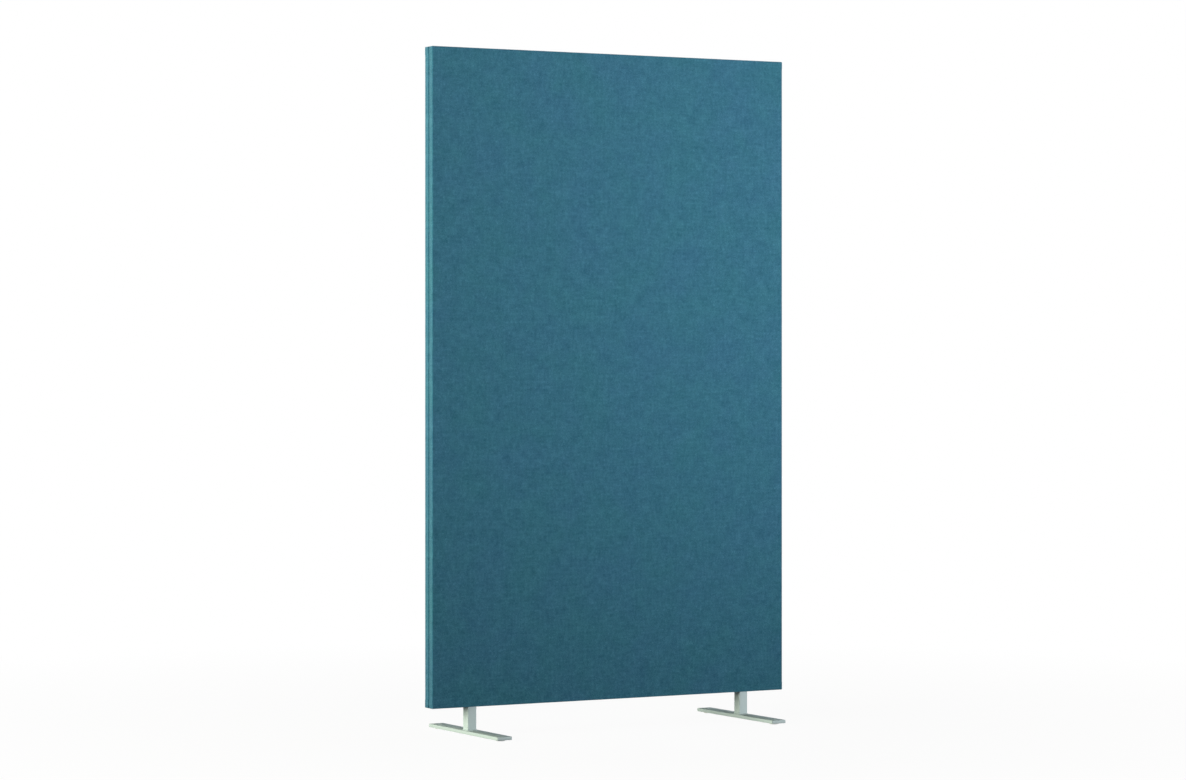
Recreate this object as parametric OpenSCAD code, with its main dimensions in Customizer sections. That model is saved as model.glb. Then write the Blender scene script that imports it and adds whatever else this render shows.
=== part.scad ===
// Free-standing acoustic divider screen: an upholstered panel on two flat-bar feet.
// X runs along the panel, Y from its front to its back, Z up. The origin is on the
// floor under the middle of the panel, and left and right are as seen from the front.

/* [Panel] */
// Width of the upholstered panel, over the cloth
panel_w = 1000; // [700:10:1400]
// Height of the upholstered panel, over the cloth
panel_h = 1600; // [1200:10:1800]
// Panel's underside above the underside of the foot bars
floor_gap = 66; // [40:1:120]

/* [Timber frame] */
// Thickness of every timber member, front to back
timber_t = 32; // [30:1:40]
// Width of the two stiles
stile_w = 45; // [42:1:70]
// Width of the top and bottom rails
rail_w = 45; // [42:1:70]
// Width of the two cross rails
cross_w = 45; // [30:1:70]
// Diameter of the dowels in the frame's joints
dowel_d = 8; // [6:1:10]
// Length of a dowel, half of it in each member
dowel_l = 60; // [40:1:60]
// Distance between the two dowels of a joint
dowel_pitch = 18; // [14:1:19]
// Leg of the triangular blocks in the corners
block_side = 90; // [50:5:150]
// Thickness of the corner blocks
block_t = 24; // [12:1:28]

/* [Upholstery] */
// Thickness of the cover cloth
cloth_t = 1; // [0.6:0.1:1.2]
// Thickness of the wadding under the cloth
wadding_t = 3; // [1:0.5:6]
// Clearance of an absorber slab in its bay
slab_fit = 0.3; // [0.1:0.1:0.6]
// Width of the groove round the edge of the frame
groove_w = 5; // [4:0.5:7]
// Depth of that groove
groove_d = 8; // [7:0.5:10]
// How deep the cloth is tucked in, from the face of the edge
tuck_d = 7; // [5:0.5:7.5]
// How far the spline lies below the face of the edge
spline_recess = 1.5; // [0.5:0.25:2]
// Depth of the spline
spline_d = 5; // [3:0.5:5]

/* [Feet] */
// Length of a foot bar, front to back
bar_length = 360; // [300:10:600]
// Width of a foot bar
bar_w = 40; // [36:1:60]
// Thickness of a foot bar
bar_t = 8; // [8:1:12]
// Radius on the bar's upright corners
bar_r = 1.5; // [0.5:0.5:4]
// Side of the square post
post_side = 25; // [25:1:30]
// Wall of the square post
post_wall = 2; // [1.5:0.1:2.5]
// Outer radius on the post's upright corners
post_r = 2.8; // [2.6:0.1:4]
// Middle of a post in from the panel's end
post_inset = 112; // [80:1:200]

/* [Foot fixings] */
// Diameter of the foot bolt
bolt_d = 8; // [6:1:8]
// Diameter of the foot bolt's countersunk head
bolt_head_d = 15; // [13:0.5:16]
// Diameter of the barrel nut
nut_d = 12; // [12:1:14]
// Length of the barrel nut
nut_l = 24; // [18:1:26]
// Middle of the barrel nut above the frame's underside
nut_up = 25; // [20:1:26]
// How far the bolt goes past the middle of its nut
bolt_past = 8; // [7:1:9]
// Thickness of the end plate in the post's top
plate_t = 4; // [3:0.5:6]
// Diameter of the locating pins
pin_d = 3; // [2:0.5:3]
// Length of the locating pins
pin_l = 16; // [12:1:20]
// A locating pin from the bolt's axis, along X and along Y
pin_off = 7; // [6.5:0.1:7]

/* [Levelling glides] */
// Diameter of a glide's pad
pad_d = 24; // [20:1:32]
// Height of a pad, which is the bar's height above the floor when the glide is home
pad_h = 3; // [2.8:0.1:5]
// Diameter of the threaded stud
stud_d = 8; // [6:1:8]
// Diameter of the stud's flange
flange_d = 14; // [12:0.5:16]
// Middle of a glide in from the end of its bar
glide_inset = 22; // [18:1:60]

/* [Hidden] */
$fn = 48;

cut = 1;             // overrun of a cut past the face that it leaves
bore_fit = 0.2;      // radial clearance of a bolt in a plain hole
thread_fit = 0.05;   // radial clearance of a thread in its nut or tapped hole
dowel_fit = 0.05;    // radial clearance of a dowel, a pin or the barrel nut in its hole
dowel_end_gap = 1;   // spare depth at each end of a dowel
bore_spare = 3;      // spare depth past the tip of the foot bolt
plate_gap = 0.1;     // gap between the post's end plate and the tube wall
socket_d = 6;        // across the corners of a hexagon socket
socket_depth = 3;    // depth of a hexagon socket
pad_floor_share = 0.4;    // thickness of a pad under the flange, as a share of its height
flange_gap = 0.4;    // gap between the stud's flange and the bar's underside
stud_below = 0.5;    // end of a stud below the top of its bar
stud_socket_share = 0.5;  // across the corners of a stud's socket, as a share of its diameter
pocket_fit = 0.15;   // radial clearance of the stud's flange in its pad
hex = 6;             // sides of a hexagon socket
corner_steps = 5;    // facets on each rounded upright corner

panel_t = timber_t + 2 * wadding_t + 2 * cloth_t;
slot_w = groove_w - 2 * cloth_t;
panel_z = pad_h + floor_gap;
frame_w = panel_w - 2 * cloth_t;
frame_h = panel_h - 2 * cloth_t;
frame_z = panel_z + cloth_t;
rail_l = frame_w - 2 * stile_w;
bay_h = (frame_h - 2 * rail_w - 2 * cross_w) / 3;
lower_cross_z = frame_z + rail_w + bay_h;
upper_cross_z = lower_cross_z + cross_w + bay_h;
top_rail_z = frame_z + frame_h - rail_w;
post_x = panel_w / 2 - post_inset;
glide_y = bar_length / 2 - glide_inset;
bolt_l = floor_gap + cloth_t + nut_up + bolt_past;
post_bore = post_side - 2 * post_wall;
post_h = floor_gap - bar_t;
pad_floor = pad_h * pad_floor_share;
flange_t = pad_h - pad_floor - flange_gap;
stud_top = pad_h + bar_t - stud_below;

// Helpers

// Outline of a rectangle about the origin with round corners
function rounded_points(w, d, r) = [
  for (corner = [0:3], step = [0:corner_steps])
    let (
      turn = 90 * (corner + step / corner_steps),
      sx = (corner == 0 || corner == 3) ? 1 : -1,
      sy = corner < 2 ? 1 : -1
    )
    [sx * (w / 2 - r) + r * cos(turn), sy * (d / 2 - r) + r * sin(turn)]
];

// Upright board of the panel's outline drawn in by inset, between two places in Y
module board(inset, y_from, y_to) {
  translate([-panel_w / 2 + inset, y_from, panel_z + inset])
    cube([panel_w - 2 * inset, y_to - y_from, panel_h - 2 * inset]);
}

// Rectangular ring of such a board, as deep as depth towards the middle
module ring(inset, depth, y_from, y_to) {
  difference() {
    board(inset, y_from, y_to);
    board(inset + depth, y_from - cut, y_to + cut);
  }
}

// Round bar along X, about the middle of its length
module rod_x(d, l) {
  rotate([0, 90, 0])
    cylinder(d = d, h = l, center = true);
}

// The two dowels of one joint, or their holes, about the joint's middle
module dowel_pair(d, l) {
  for (side = [-1, 1])
    translate([0, 0, side * dowel_pitch / 2])
      rod_x(d, l);
}

// Puts the children at both ends of the top, bottom and two cross rails
module at_frame_joints() {
  solid_w = rail_w - groove_d;
  heights = [
    frame_z + groove_d + solid_w / 2,
    lower_cross_z + cross_w / 2,
    upper_cross_z + cross_w / 2,
    frame_z + frame_h - groove_d - solid_w / 2
  ];
  for (end = [-1, 1], z = heights)
    translate([end * rail_l / 2, 0, z])
      children();
}

// Puts the children on the axis of the left or the right foot bolt, side being -1 or 1
module at_foot(side) {
  translate([side * post_x, 0, 0])
    children();
}

// Puts the children on the axis of one glide, end being -1 at the front and 1 at the back
module at_glide(side, end) {
  at_foot(side)
    translate([0, end * glide_y, 0])
      children();
}

// Puts the children on the axes of a foot's two locating pins
module at_pins() {
  for (end = [-1, 1])
    translate([end * pin_off, end * pin_off, 0])
      children();
}

// What the foot's bolt and pins bore out of the cloth and the bottom rail
module foot_holes() {
  for (side = [-1, 1])
    at_foot(side) {
      translate([0, 0, panel_z - cut])
        cylinder(r = bolt_d / 2 + bore_fit, h = cut + cloth_t + nut_up + bolt_past + bore_spare);
      at_pins()
        translate([0, 0, panel_z - cut])
          cylinder(r = pin_d / 2 + dowel_fit, h = cut + pin_l - plate_t + dowel_end_gap);
    }
}

// Timber frame

// A length of timber with the edge groove and the dowel holes cut out of it
module timber(x, z, w, h) {
  color("burlywood")
    difference() {
      translate([x, -timber_t / 2, z])
        cube([w, timber_t, h]);
      ring(cloth_t - cut, groove_d + cut, -groove_w / 2, groove_w / 2);
      at_frame_joints()
        dowel_pair(dowel_d + 2 * dowel_fit, dowel_l + 2 * dowel_end_gap);
    }
}

module left_stile() {
  timber(-frame_w / 2, frame_z, stile_w, frame_h);
}

module right_stile() {
  timber(frame_w / 2 - stile_w, frame_z, stile_w, frame_h);
}

module top_rail() {
  timber(-rail_l / 2, top_rail_z, rail_l, rail_w);
}

// The nut's hole is drilled from the back and stops short of the front
module bottom_rail() {
  color("burlywood")
    difference() {
      timber(-rail_l / 2, frame_z, rail_l, rail_w);
      foot_holes();
      for (side = [-1, 1])
        at_foot(side)
          translate([0, -nut_l / 2, frame_z + nut_up])
            rotate([-90, 0, 0])
              cylinder(r = nut_d / 2 + dowel_fit, h = nut_l / 2 + timber_t / 2 + cut);
    }
}

module upper_cross_rail() {
  timber(-rail_l / 2, upper_cross_z, rail_l, cross_w);
}

module lower_cross_rail() {
  timber(-rail_l / 2, lower_cross_z, rail_l, cross_w);
}

module frame_dowels() {
  color("tan")
    at_frame_joints()
      dowel_pair(dowel_d, dowel_l);
}

module corner_blocks() {
  color("peru")
    for (end = [0, 1], side = [0, 1])
      translate([0, 0, frame_z + frame_h / 2])
        mirror([side, 0, 0])
          mirror([0, 0, end])
            translate([-rail_l / 2, block_t / 2, rail_w - frame_h / 2])
              rotate([90, 0, 0])
                linear_extrude(block_t)
                  polygon([[0, 0], [block_side, 0], [0, block_side]]);
}

// Upholstery

// An absorber slab in the bay that starts at z, with its lower or upper corners cut off
module absorber(z, cut_low, cut_high) {
  w = rail_l / 2 - slab_fit;
  low = cut_low ? block_side + slab_fit : 0;
  high = cut_high ? block_side + slab_fit : 0;
  h = bay_h - 2 * slab_fit;
  color("gainsboro")
    translate([0, timber_t / 2, z + slab_fit])
      rotate([90, 0, 0])
        linear_extrude(timber_t)
          polygon([
            [-w, low], if (cut_low) [low - w, 0], if (cut_low) [w - low, 0],
            [w, low], [w, h - high], if (cut_high) [w - high, h],
            if (cut_high) [high - w, h], [-w, h - high]
          ]);
}

module top_absorber() {
  absorber(upper_cross_z + cross_w, false, true);
}

module middle_absorber() {
  absorber(lower_cross_z + cross_w, false, false);
}

module bottom_absorber() {
  absorber(frame_z + rail_w, true, false);
}

module front_wadding() {
  color("whitesmoke")
    board(cloth_t, cloth_t - panel_t / 2, -timber_t / 2);
}

module back_wadding() {
  color("whitesmoke")
    board(cloth_t, timber_t / 2, panel_t / 2 - cloth_t);
}

// One skin at the front: a face, turned round the edges and tucked into the groove
module skin() {
  board(0, -panel_t / 2, cloth_t - panel_t / 2);
  ring(0, cloth_t, -panel_t / 2, -slot_w / 2);
  ring(0, tuck_d, -slot_w / 2 - cloth_t, -slot_w / 2);
}

module front_cover() {
  color([0.2, 0.43, 0.53])
    difference() {
      skin();
      foot_holes();
    }
}

module back_cover() {
  color([0.2, 0.43, 0.53])
    difference() {
      mirror([0, 1, 0])
        skin();
      foot_holes();
    }
}

// Left out where a post stands under it
module edge_spline() {
  color([0.12, 0.2, 0.22])
    difference() {
      ring(spline_recess, spline_d, -slot_w / 2, slot_w / 2);
      for (side = [-1, 1])
        at_foot(side)
          translate([-post_side / 2, -slot_w / 2 - cut, panel_z])
            cube([post_side, slot_w + 2 * cut, spline_recess + spline_d + cut]);
    }
}

// Feet

module foot_bar(side) {
  color("silver")
    at_foot(side)
      difference() {
        translate([0, 0, pad_h])
          linear_extrude(bar_t)
            polygon(rounded_points(bar_w, bar_length, bar_r));
        translate([0, 0, pad_h - cut])
          cylinder(r = bolt_d / 2 + bore_fit, h = bar_t + 2 * cut);
        bolt_head(bore_fit);
        for (end = [-1, 1])
          translate([0, end * glide_y, pad_h - cut])
            cylinder(r = stud_d / 2 + thread_fit, h = bar_t + 2 * cut);
      }
}

// Cone of a countersunk head, grown by fit, with its wide end on the bar's underside
module bolt_head(fit) {
  translate([0, 0, pad_h])
    cylinder(r1 = bolt_head_d / 2 + fit, r2 = bolt_d / 2 + fit, h = (bolt_head_d - bolt_d) / 2);
}

module post(side) {
  color("silver")
    at_foot(side)
      translate([0, 0, pad_h + bar_t])
        linear_extrude(post_h)
          difference() {
            polygon(rounded_points(post_side, post_side, post_r));
            polygon(rounded_points(post_bore, post_bore, post_r - post_wall));
          }
}

// Flush with the top of the tube, and welded in
module post_plate(side) {
  plate_side = post_bore - 2 * plate_gap;
  color("darkgray")
    at_foot(side)
      difference() {
        translate([0, 0, panel_z - plate_t])
          linear_extrude(plate_t)
            polygon(rounded_points(plate_side, plate_side, post_r - post_wall));
        translate([0, 0, panel_z - plate_t - cut]) {
          cylinder(r = bolt_d / 2 + bore_fit, h = plate_t + 2 * cut);
          at_pins()
            cylinder(r = pin_d / 2 + dowel_fit, h = plate_t + 2 * cut);
        }
      }
}

module locating_pins(side) {
  color("gray")
    at_foot(side)
      at_pins()
        translate([0, 0, panel_z - plate_t])
          cylinder(d = pin_d, h = pin_l);
}

module foot_bolt(side) {
  color("dimgray")
    at_foot(side)
      difference() {
        union() {
          translate([0, 0, pad_h])
            cylinder(d = bolt_d, h = bolt_l);
          bolt_head(0);
        }
        translate([0, 0, pad_h - cut])
          cylinder(d = socket_d, h = socket_depth + cut, $fn = hex);
      }
}

module barrel_nut(side) {
  color("gray")
    at_foot(side)
      translate([0, 0, frame_z + nut_up])
        difference() {
          rotate([90, 0, 0])
            cylinder(d = nut_d, h = nut_l, center = true);
          cylinder(r = bolt_d / 2 + thread_fit, h = nut_d + 2 * cut, center = true);
        }
}

// Levelling glides

// The pad takes the stud's flange in a pocket and stays still while the stud turns
module glide_pad(side, end) {
  color("whitesmoke")
    at_glide(side, end)
      difference() {
        cylinder(d = pad_d, h = pad_h);
        translate([0, 0, pad_floor])
          cylinder(r = flange_d / 2 + pocket_fit, h = pad_h);
      }
}

module glide_stud(side, end) {
  color("darkgray")
    at_glide(side, end)
      difference() {
        union() {
          translate([0, 0, pad_floor])
            cylinder(d = flange_d, h = flange_t);
          translate([0, 0, pad_floor])
            cylinder(d = stud_d, h = stud_top - pad_floor);
        }
        translate([0, 0, stud_top - socket_depth])
          cylinder(d = stud_d * stud_socket_share, h = socket_depth + cut, $fn = hex);
      }
}

// Assembly

left_stile();
right_stile();
top_rail();
bottom_rail();
upper_cross_rail();
lower_cross_rail();
frame_dowels();
corner_blocks();
top_absorber();
middle_absorber();
bottom_absorber();
front_wadding();
back_wadding();
front_cover();
back_cover();
edge_spline();
barrel_nut(-1);  // left_barrel_nut
barrel_nut(1);  // right_barrel_nut
foot_bolt(-1);  // left_foot_bolt
foot_bolt(1);  // right_foot_bolt
locating_pins(-1);  // left_locating_pins
locating_pins(1);  // right_locating_pins
post_plate(-1);  // left_post_plate
post_plate(1);  // right_post_plate
post(-1);  // left_post
post(1);  // right_post
foot_bar(-1);  // left_foot_bar
foot_bar(1);  // right_foot_bar
glide_pad(-1, -1);  // left_front_glide_pad
glide_pad(-1, 1);  // left_back_glide_pad
glide_pad(1, -1);  // right_front_glide_pad
glide_pad(1, 1);  // right_back_glide_pad
glide_stud(-1, -1);  // left_front_glide_stud
glide_stud(-1, 1);  // left_back_glide_stud
glide_stud(1, -1);  // right_front_glide_stud
glide_stud(1, 1);  // right_back_glide_stud
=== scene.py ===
import bpy
import bmesh
import math
from mathutils import Matrix, Vector, noise


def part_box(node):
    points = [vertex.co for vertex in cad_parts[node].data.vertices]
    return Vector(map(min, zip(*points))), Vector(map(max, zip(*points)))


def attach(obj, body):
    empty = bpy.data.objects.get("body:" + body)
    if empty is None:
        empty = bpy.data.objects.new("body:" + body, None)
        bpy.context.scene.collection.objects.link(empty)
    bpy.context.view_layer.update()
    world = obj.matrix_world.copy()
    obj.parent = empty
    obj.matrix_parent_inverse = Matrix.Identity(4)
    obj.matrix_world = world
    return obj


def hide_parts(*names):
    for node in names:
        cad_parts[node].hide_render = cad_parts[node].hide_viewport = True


# Acoustic divider screen: a cloth-covered panel on two flat-bar feet.
# Lengths are in metres, in the same frame as the solids. Left is -X, front is -Y.

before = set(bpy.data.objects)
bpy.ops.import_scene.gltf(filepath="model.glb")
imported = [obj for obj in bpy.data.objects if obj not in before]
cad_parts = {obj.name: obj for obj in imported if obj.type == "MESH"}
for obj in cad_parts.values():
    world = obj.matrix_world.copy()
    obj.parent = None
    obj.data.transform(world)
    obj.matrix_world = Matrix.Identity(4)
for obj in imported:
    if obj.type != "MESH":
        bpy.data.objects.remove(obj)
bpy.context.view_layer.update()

panel = {
    "halfWidth": 0.5,
    "bottom": 0.069,
    "top": 1.669,
    "halfDepth": 0.02,
    "frameHalfDepth": 0.016,   # the timber under the wadding
    "slotHalfWidth": 0.0015,   # the gap between the two skins, along the middle of the edge
}
sides = {"left": -0.388, "right": 0.388}     # x of a foot
ends = {"front": -0.158, "back": 0.158}      # y of a glide
overrun = 0.002                              # how far a cutter goes past the face that it leaves


# Small tools for node trees: they all add to the tree that was opened last

bench = {}


def openTree(tree):
    bench["tree"] = tree
    return tree


def feed(node, inputs):
    # an input goes by its name or number, and takes a plain value or another node's socket
    for name, value in inputs.items():
        if isinstance(value, bpy.types.NodeSocket):
            bench["tree"].links.new(value, node.inputs[name])
        else:
            node.inputs[name].default_value = value


def addNode(kind, inputs=None, **settings):
    made = bench["tree"].nodes.new(kind)
    for name, value in settings.items():
        setattr(made, name, value)
    feed(made, inputs or {})
    return made


def outOf(kind, inputs=None, **settings):
    # adds a node and gives its first output
    return addNode(kind, inputs, **settings).outputs[0]


def calc(operation, *values):
    return outOf("ShaderNodeMath", dict(enumerate(values)), operation=operation)


def fromRange(value, low, high, newLow, newHigh):
    limits = {"Value": value, "From Min": low, "From Max": high, "To Min": newLow, "To Max": newHigh}
    return outOf("ShaderNodeMapRange", limits)


def mixColour(factor, a, b):
    return addNode("ShaderNodeMix", {0: factor, 6: a, 7: b}, data_type="RGBA").outputs[2]


def mixValue(factor, a, b):
    return outOf("ShaderNodeMix", {0: factor, 2: a, 3: b}, data_type="FLOAT")


def axesOf(vector):
    return addNode("ShaderNodeSeparateXYZ", {"Vector": vector}).outputs


# Small tools for shader trees

def rgb(red, green, blue):
    # from the 0 to 255 of a picture to the linear values that a shader takes
    levels = [v / 255 for v in (red, green, blue)]
    linear = [v / 12.92 if v < 0.0404 else ((v + 0.055) / 1.055) ** 2.4 for v in levels]
    return (*linear, 1.0)


def newFinish(name):
    made = bpy.data.materials.new(name)
    made.use_nodes = True
    openTree(made.node_tree)
    return made


def endFinish(made, sockets, height, distance, strength):
    bump = {"Height": height, "Distance": distance, "Strength": strength}
    sockets["Normal"] = outOf("ShaderNodeBump", bump)
    feed(made.node_tree.nodes["Principled BSDF"], sockets)
    return made


def ownPlace():
    return addNode("ShaderNodeTexCoord").outputs["Object"]


def stretched(vector, scale, turn=(0, 0, 0), shift=(0, 0, 0)):
    sizes = {"Vector": vector, "Scale": scale, "Rotation": turn, "Location": shift}
    return outOf("ShaderNodeMapping", sizes)


def noiseOn(vector, scale, detail=2.0, roughness=0.5, distortion=0.0):
    sizes = {"Vector": vector, "Scale": scale, "Detail": detail}
    sizes.update({"Roughness": roughness, "Distortion": distortion})
    return outOf("ShaderNodeTexNoise", sizes)


def streaksOn(vector, stretch, detail=2.0, roughness=0.5, distortion=0.0, **lie):
    # noise drawn out by a scale for each direction, and turned or shifted as asked
    return noiseOn(stretched(vector, stretch, **lie), 1.0, detail, roughness, distortion)


# Finishes

cloth = {
    "shader": {
        "Roughness": 0.92,
        "Specular IOR Level": 0.18,
        "Sheen Weight": 0.45,
        "Sheen Roughness": 0.45,
        "Sheen Tint": (0.85, 0.95, 1.0, 1.0),
    },
    "colour": rgb(52, 109, 135),
    "darkFibre": rgb(31, 86, 113),
    "lightFibre": rgb(84, 138, 163),
    "greenCast": rgb(48, 113, 129),
    "step": (0.06, 0.15, 0.19),        # how far the tone moves where the yarn is thicker or thinner, and the depth of the painted shade in the weave's hollows
    "threadPitch": 0.0011,
    "sway": 0.6,                       # how far a thread strays from its row, in pitches
    "weaveHeight": 0.00035,
    "fibreScale": (1100, 150),         # across and along a thread, as for the slubs
    "slubScale": (150, 42),
    "cloudScale": 26.0,
    "hueScale": 7.0,
    "fuzzScale": 2600.0,
}


def overHump(share):
    # 0 at both ends of the share and 1 in its middle
    return calc("SINE", calc("MULTIPLY", share, math.pi))


def makeClothFinish():
    made = newFinish("coverCloth")
    flat = outOf("ShaderNodeUVMap", uv_map="flat")
    sway = fromRange(noiseOn(flat, 90.0, 3.0), 0, 1, -cloth["sway"], cloth["sway"])
    axes = axesOf(flat)
    across = calc("MULTIPLY_ADD", axes["X"], 1 / cloth["threadPitch"], sway)
    upward = calc("MULTIPLY_ADD", axes["Y"], 1 / cloth["threadPitch"], sway)
    crossing = calc("ADD", calc("FLOOR", across), calc("FLOOR", upward))
    warpOver = calc("FLOORED_MODULO", crossing, 2.0)
    inWarp = calc("FRACT", across)
    inWeft = calc("FRACT", upward)
    overThread = overHump(mixValue(warpOver, inWeft, inWarp))
    alongThread = overHump(mixValue(warpOver, inWarp, inWeft))
    crown = calc("POWER", overThread, 0.6)
    weave = calc("MULTIPLY", crown, calc("MULTIPLY_ADD", alongThread, 0.45, 0.55))
    fine, drawn = cloth["fibreScale"]
    warpFibre = streaksOn(flat, (fine, drawn, 1), 2.0, 0.6)
    weftFibre = streaksOn(flat, (drawn, fine, 1), 2.0, 0.6, shift=(3, 7, 0))
    strand = mixValue(warpOver, weftFibre, warpFibre)
    fine, drawn = cloth["slubScale"]
    slubUp = streaksOn(flat, (fine, drawn, 1))
    slubAcross = streaksOn(flat, (drawn, fine, 1), shift=(9, 2, 0))
    slub = fromRange(calc("ADD", slubUp, slubAcross), 0.7, 1.3, -0.14, 0.14)
    cloud = fromRange(noiseOn(flat, cloth["cloudScale"], 3.0, 0.55), 0.3, 0.7, -0.07, 0.07)
    hueCloud = noiseOn(stretched(flat, (1, 1, 1), shift=(5, 5, 0)), cloth["hueScale"], 3.0, 0.6)
    greener = fromRange(hueCloud, 0.36, 0.64, 0, 0.85)
    ground = mixColour(greener, cloth["colour"], cloth["greenCast"])
    dark = mixColour(fromRange(strand, 0.35, 0.6, 0.75, 0), ground, cloth["darkFibre"])
    pale = mixColour(fromRange(strand, 0.52, 0.72, 0, 0.6), dark, cloth["lightFibre"])
    uneven = calc("ADD", cloud, slub)
    # painted shade: the tone drops where the threads dip between crossings, in the weave's hollows
    level = calc("ADD", uneven, fromRange(weave, 0.15, 0.8, -0.36, 0.06))
    sums = {0: level, 1: cloth["step"], 2: pale}
    toned = outOf("ShaderNodeVectorMath", sums, operation="MULTIPLY_ADD")
    height = calc("MULTIPLY_ADD", noiseOn(flat, cloth["fuzzScale"], 2.0, 0.6), 0.5, weave)
    return endFinish(made, {**cloth["shader"], "Base Color": toned}, height, cloth["weaveHeight"], 0.7)


coat = {
    "shader": {"Metallic": 0.1, "Specular IOR Level": 0.0, "Specular Tint": (0.2, 0.22, 0.21, 1.0)},
    "colour": rgb(188, 204, 206),
    "shade": rgb(179, 195, 197),
    "flake": rgb(216, 226, 226),
    "flakeScale": 2600.0,
    "peelScale": 900.0,
    "peelHeight": 0.00008,
}


def makeCoatFinish():
    # silver powder coat: a fine orange peel with flakes in it
    made = newFinish("silverCoat")
    place = ownPlace()
    cells = {"Vector": place, "Scale": coat["flakeScale"]}
    flake = addNode("ShaderNodeTexVoronoi", cells).outputs["Color"]
    spark = outOf("ShaderNodeSeparateColor", {"Color": flake})
    smudge = noiseOn(place, 14.0, 4.0, 0.6)
    body = mixColour(smudge, coat["colour"], coat["shade"])
    colour = mixColour(fromRange(spark, 0.7, 1.0, 0, 0.3), body, coat["flake"])
    rough = fromRange(calc("ADD", smudge, spark), 0.3, 1.6, 0.5, 0.64)
    peel = calc("MULTIPLY_ADD", spark, 0.15, noiseOn(place, coat["peelScale"]))
    sockets = {**coat["shader"], "Base Color": colour, "Roughness": rough}
    return endFinish(made, sockets, peel, coat["peelHeight"], 0.35)


steel = {
    "colour": rgb(178, 180, 182),
    "tint": rgb(190, 184, 160),        # the faint straw of the passivated zinc
    "dull": rgb(120, 122, 126),
    "tintScale": 160.0,
    "spotScale": 900.0,
    "spotHeight": 0.00002,
}


def makeSteelFinish():
    made = newFinish("zincSteel")
    place = ownPlace()
    tint = noiseOn(place, steel["tintScale"], 3.0, 0.6)
    spot = noiseOn(place, steel["spotScale"], 3.0, 0.65)
    ground = mixColour(fromRange(tint, 0.4, 0.65, 0, 0.7), steel["colour"], steel["tint"])
    colour = mixColour(fromRange(spot, 0.55, 0.75, 0, 0.55), ground, steel["dull"])
    rough = fromRange(spot, 0.3, 0.7, 0.26, 0.46)
    sockets = {"Metallic": 1.0, "Base Color": colour, "Roughness": rough}
    return endFinish(made, sockets, spot, steel["spotHeight"], 0.5)


wood = {
    "shader": {"Roughness": 0.7, "Specular IOR Level": 0.3},
    "pine": (rgb(222, 186, 136), rgb(194, 146, 92)),
    "beech": (rgb(216, 184, 146), rgb(186, 146, 106)),
    "ring": 78.0,                      # growth rings about 4 mm apart
    "grainHeight": 0.0001,
}


def makeWoodFinish(name, tones, lengthwise):
    # the rings are laid round a pith beside the board, so that end grain shows on the ends
    made = newFinish(name)
    lie = (0, math.pi / 2 if lengthwise == "x" else 0, 0)
    along = stretched(ownPlace(), (1, 1, 1), turn=lie)
    trunk = stretched(along, (1, 1, 0.05), shift=(0.013, 0.061, 0))
    sizes = {"Vector": trunk, "Scale": wood["ring"], "Distortion": 3.5, "Detail": 3.0, "Detail Scale": 1.2}
    rings = addNode("ShaderNodeTexWave", sizes, wave_type="RINGS", rings_direction="Z").outputs["Fac"]
    lateWood = calc("MULTIPLY", calc("POWER", rings, 2.0), 0.75)
    pores = streaksOn(along, (1800, 1800, 40), 3.0, 0.6)
    blotch = fromRange(streaksOn(along, (30, 30, 3), 3.0), 0.4, 0.7, 0, 0.4)
    grain = calc("MULTIPLY_ADD", pores, 0.35, lateWood)
    ground = mixColour(grain, tones[0], tones[1])
    sockets = {**wood["shader"], "Base Color": mixColour(blotch, ground, tones[1])}
    return endFinish(made, sockets, grain, wood["grainHeight"], 0.5)


ply = {
    "pale": rgb(224, 198, 158),
    "dark": rgb(182, 142, 98),
    "endGrain": rgb(168, 124, 82),
    "glue": rgb(92, 60, 38),
    "pliesPerMetre": 500.0,
}


def makePlyFinish():
    # birch plies run through the blocks' thickness, their grain laid upright and level in turn
    made = newFinish("birchPly")
    place = ownPlace()
    depth = calc("MULTIPLY", axesOf(place)["Y"], ply["pliesPerMetre"])
    level = calc("FLOORED_MODULO", calc("FLOOR", depth), 2.0)
    glue = fromRange(calc("PINGPONG", depth, 0.5), 0.0, 0.07, 1, 0)
    uprightGrain = streaksOn(place, (900, 300, 40), 3.0, 0.6)
    levelGrain = streaksOn(place, (40, 300, 900), 3.0, 0.6)
    grain = mixValue(level, uprightGrain, levelGrain)
    ground = mixColour(grain, ply["pale"], ply["dark"])
    darker = mixColour(calc("MULTIPLY", level, 0.35), ground, ply["endGrain"])
    colour = mixColour(calc("MULTIPLY", glue, 0.7), darker, ply["glue"])
    return endFinish(made, {"Roughness": 0.72, "Base Color": colour}, grain, wood["grainHeight"], 0.6)


fibre = {
    "shader": {"Roughness": 0.95, "Specular IOR Level": 0.1, "Sheen Weight": 0.3},
    "felt": {
        "tones": (rgb(206, 206, 200), rgb(190, 191, 186), rgb(120, 124, 124)),
        "speck": 0.8,
        "fluff": 0.0004,
    },
    "fleece": {
        "tones": (rgb(244, 243, 238), rgb(232, 231, 226), rgb(252, 252, 250)),
        "speck": 0.9,
        "fluff": 0.0007,
    },
}


def makeFibreFinish(name, tones, speck, fluff):
    # felt or fleece: fibres that lie every way, some of them in the third tone
    made = newFinish(name)
    place = ownPlace()
    one = streaksOn(place, (300, 1200, 2200), 3.0, 0.65, 0.8, turn=(0.3, 0.5, 0.2))
    two = streaksOn(place, (2200, 1200, 300), 3.0, 0.65, 0.8, turn=(0.1, -0.6, 0.4))
    mat = calc("MAXIMUM", one, two)
    clump = noiseOn(place, 45.0, 4.0, 0.6)
    ground = mixColour(clump, tones[0], tones[1])
    colour = mixColour(fromRange(mat, 0.62, 0.74, 0, speck), ground, tones[2])
    height = calc("ADD", mat, clump)
    return endFinish(made, {**fibre["shader"], "Base Color": colour}, height, fluff, 0.8)


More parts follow.
